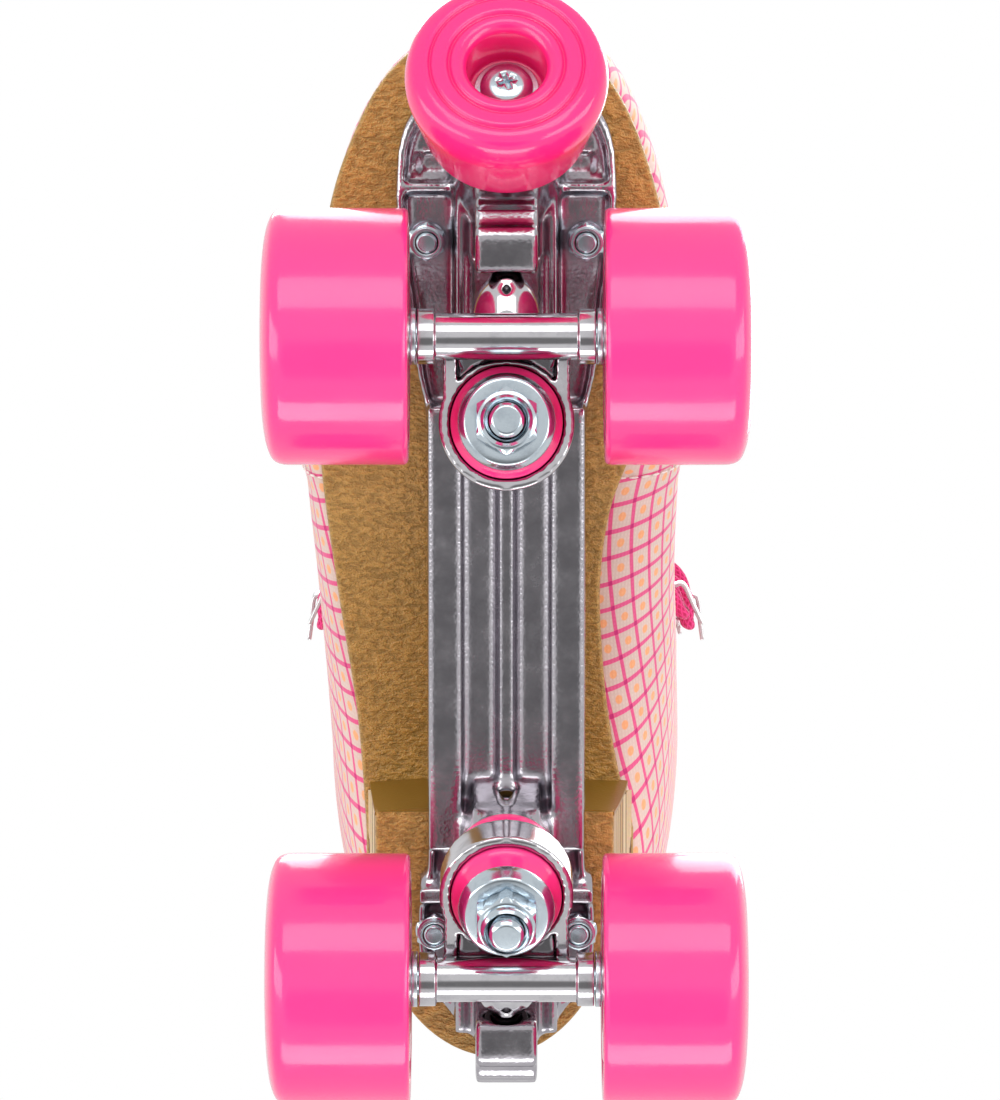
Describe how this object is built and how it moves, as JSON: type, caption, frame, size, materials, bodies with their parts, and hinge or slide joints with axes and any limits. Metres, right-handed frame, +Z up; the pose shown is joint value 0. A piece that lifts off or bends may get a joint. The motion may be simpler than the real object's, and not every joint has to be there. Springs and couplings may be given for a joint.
{
  "type": "quad roller skate",
  "caption": "High-top quad roller skate with a lace-up boot, heeled sole, cast plate, tilting cushioned trucks, rubber wheels and an angled toe stop.",
  "frame": {"origin": "on the floor, midway along and across the skate's box", "axes": "+Z up; the toe points along -Y; +X is the inner (medial) side of a right foot"},
  "size_m": [0.1106, 0.2618, 0.2572],
  "materials": {
    "pink_urethane": "glossy cast urethane",
    "cast_aluminium": "polished casting, finely blasted in the pockets",
    "polished_steel": "bright plated steel",
    "zinc_steel": "bright bluish zinc plate",
    "sole_leather": "tan gold sole sheet with a pebbled grain",
    "stacked_leather": "stacked layers with bare edges",
    "printed_upper": "printed upper, pink diagonal grid with orange dots",
    "lining": "soft brushed lining",
    "lace": "braided lace",
    "fibreboard": "raw board",
    "black_nylon": "moulded nylon"
  },
  "bodies": {
    "boot_and_plate": {"backstay": "printed_upper", "collar_pad": "lining", "footbed": "lining", "front_cushion_washer": "zinc_steel", "front_kingpin": "zinc_steel", "front_kingpin_nut": "zinc_steel", "front_lower_cushion": "pink_urethane", "front_pivot_cup": "black_nylon", "front_upper_cushion": "pink_urethane", "heel_block": "stacked_leather", "heel_lift": "sole_leather", "hook_lateral_lower": "zinc_steel", "hook_lateral_upper": "zinc_steel", "hook_medial_lower": "zinc_steel", "hook_medial_upper": "zinc_steel", "insole_board": "fibreboard", "lace": "lace", "mounting_bolt_front_lateral": "zinc_steel", "mounting_bolt_front_medial": "zinc_steel", "mounting_bolt_rear_lateral": "zinc_steel", "mounting_bolt_rear_medial": "zinc_steel", "mounting_nut_front_lateral": "zinc_steel", "mounting_nut_front_medial": "zinc_steel", "mounting_nut_rear_lateral": "zinc_steel", "mounting_nut_rear_medial": "zinc_steel", "outsole": "sole_leather", "plate": "cast_aluminium", "quarter_lateral": "printed_upper", "quarter_medial": "printed_upper", "rear_cushion_washer": "zinc_steel", "rear_kingpin": "zinc_steel", "rear_kingpin_nut": "zinc_steel", "rear_lower_cushion": "pink_urethane", "rear_pivot_cup": "black_nylon", "rear_upper_cushion": "pink_urethane", "toe_stop": "pink_urethane", "toe_stop_screw": "zinc_steel", "toe_stop_washer": "zinc_steel", "tongue": "printed_upper", "vamp": "printed_upper"},
    "front_truck": {"axle_nut_front_lateral": "zinc_steel", "axle_nut_front_medial": "zinc_steel", "front_axle": "zinc_steel", "front_hanger": "polished_steel"},
    "rear_truck": {"axle_nut_rear_lateral": "zinc_steel", "axle_nut_rear_medial": "zinc_steel", "rear_axle": "zinc_steel", "rear_hanger": "polished_steel"},
    "wheel_front_medial": {"bearing_front_medial_inboard": "zinc_steel", "bearing_front_medial_outboard": "zinc_steel", "wheel_front_medial": "pink_urethane"},
    "wheel_front_lateral": {"bearing_front_lateral_inboard": "zinc_steel", "bearing_front_lateral_outboard": "zinc_steel", "wheel_front_lateral": "pink_urethane"},
    "wheel_rear_medial": {"bearing_rear_medial_inboard": "zinc_steel", "bearing_rear_medial_outboard": "zinc_steel", "wheel_rear_medial": "pink_urethane"},
    "wheel_rear_lateral": {"bearing_rear_lateral_inboard": "zinc_steel", "bearing_rear_lateral_outboard": "zinc_steel", "wheel_rear_lateral": "pink_urethane"}
  },
  "joints": [
    {"name": "front_truck_tilt", "type": "hinge", "parent": "boot_and_plate", "child": "front_truck", "pos_m": [0, -0.03265, 0.033], "axis": [0, 0.9516, -0.3074], "range_deg": [-8, 8], "stiffness_Nm_per_rad": 20, "deforming": ["front_upper_cushion", "front_lower_cushion"]},
    {"name": "rear_truck_tilt", "type": "hinge", "parent": "boot_and_plate", "child": "rear_truck", "pos_m": [0, 0.07615, 0.033], "axis": [0, -0.9516, -0.3074], "range_deg": [-8, 8], "stiffness_Nm_per_rad": 20, "deforming": ["rear_upper_cushion", "rear_lower_cushion"]},
    {"name": "wheel_front_medial_spin", "type": "hinge", "parent": "front_truck", "child": "wheel_front_medial", "pos_m": [0.0387, -0.05325, 0.029], "axis": [1, 0, 0], "continuous": true},
    {"name": "wheel_front_lateral_spin", "type": "hinge", "parent": "front_truck", "child": "wheel_front_lateral", "pos_m": [-0.0387, -0.05325, 0.029], "axis": [1, 0, 0], "continuous": true},
    {"name": "wheel_rear_medial_spin", "type": "hinge", "parent": "rear_truck", "child": "wheel_rear_medial", "pos_m": [0.0387, 0.09675, 0.029], "axis": [1, 0, 0], "continuous": true},
    {"name": "wheel_rear_lateral_spin", "type": "hinge", "parent": "rear_truck", "child": "wheel_rear_lateral", "pos_m": [-0.0387, 0.09675, 0.029], "axis": [1, 0, 0], "continuous": true}
  ]
}
